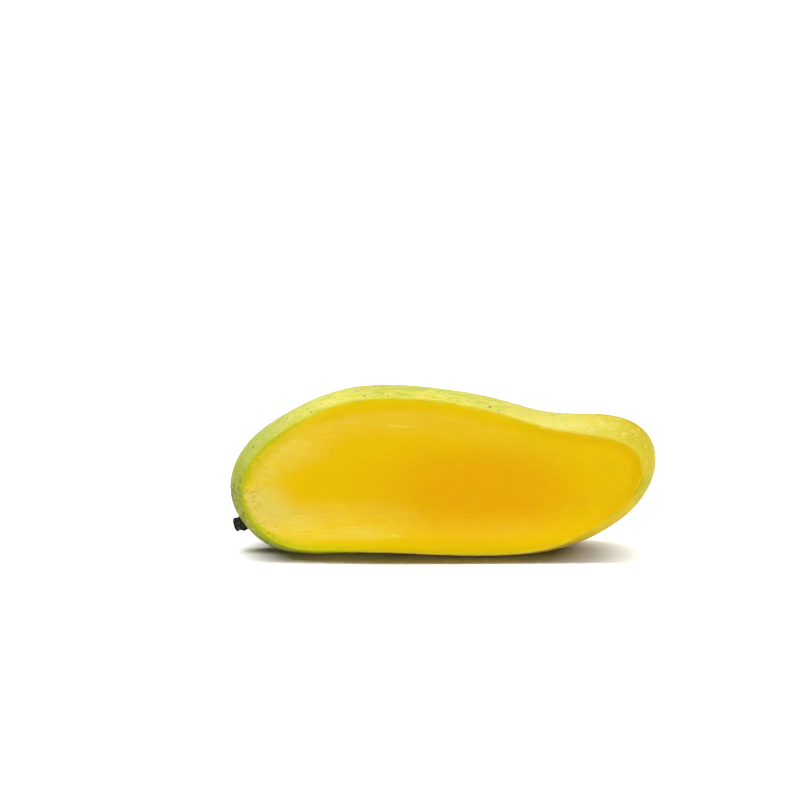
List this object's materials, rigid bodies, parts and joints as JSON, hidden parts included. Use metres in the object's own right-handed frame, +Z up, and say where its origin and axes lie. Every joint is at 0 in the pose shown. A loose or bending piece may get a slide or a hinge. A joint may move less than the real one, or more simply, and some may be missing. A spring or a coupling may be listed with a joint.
{
  "type": "mango with one cheek cut off",
  "caption": "Long mango lying on its narrow side, its near cheek sliced off lengthwise to show a flat face of orange flesh, with a short dark stem at one end.",
  "frame": {"origin": "on the surface that the fruit rests on, below the middle of its outline", "axes": "+X along the fruit from the stem end to the tip, -Y the way the cut face looks, +Z up"},
  "size_m": [0.165, 0.0416, 0.0654],
  "materials": {
    "skin": "satin",
    "flesh": "satin",
    "stem": "matte"
  },
  "bodies": {
    "root": {"fruit": "skin", "stem": "stem"}
  },
  "joints": []
}
